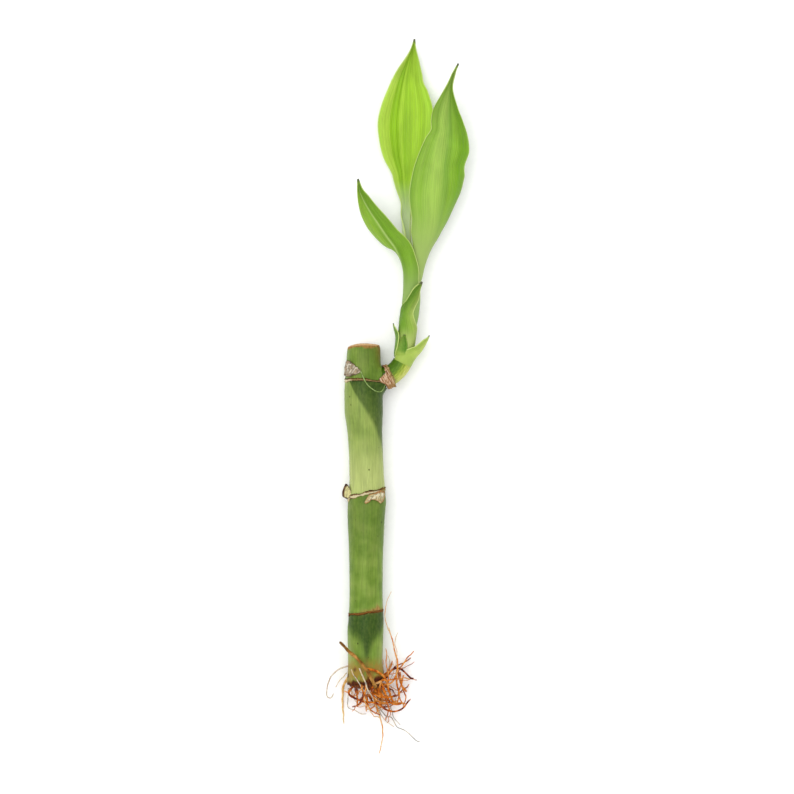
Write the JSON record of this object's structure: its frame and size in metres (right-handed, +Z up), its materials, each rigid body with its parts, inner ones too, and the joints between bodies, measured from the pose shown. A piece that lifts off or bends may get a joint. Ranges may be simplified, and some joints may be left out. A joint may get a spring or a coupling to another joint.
{
  "type": "lucky bamboo cutting",
  "caption": "Rooted cane cutting of a house plant, laid down: a jointed green cane, a leafy side shoot near its top and a tangle of roots at its base.",
  "frame": {"origin": "on the surface, at the flat spot under the cane beside its middle joint", "axes": "+Y along the cane from the roots toward the leaves, +Z up off the surface that it lies on"},
  "size_m": [0.0481, 0.2413, 0.0155],
  "materials": {
    "cane_skin": "smooth waxy green skin with fine lengthwise streaks",
    "scar_bark": "dry rough ring",
    "dry_husk": "thin dry papery scrap",
    "collar_scale": "brown papery scale",
    "stem_skin": "smooth green skin",
    "bract_blade": "pale green satin",
    "small_leaf_blade": "green satin with fine parallel veins",
    "front_leaf_blade": "green satin with fine parallel veins",
    "back_leaf_blade": "bright green satin with fine parallel veins",
    "root_bark": "fibrous orange-brown bark",
    "young_root_skin": "smooth cream skin"
  },
  "bodies": {
    "root": {"cane": "cane_skin", "scar_ring_top": "scar_bark", "scar_ring_middle": "scar_bark", "scar_ring_lower": "scar_bark", "husk_top": "dry_husk", "husk_middle": "dry_husk", "branch_collar": "collar_scale", "shoot_stem": "stem_skin", "bract_left": "bract_blade", "bract_front": "bract_blade", "bract_right": "bract_blade", "bract_upper": "bract_blade", "leaf_small": "small_leaf_blade", "leaf_front": "front_leaf_blade", "leaf_back": "back_leaf_blade", "roots": "root_bark", "young_root_1": "young_root_skin", "young_root_2": "young_root_skin"}
  },
  "joints": []
}
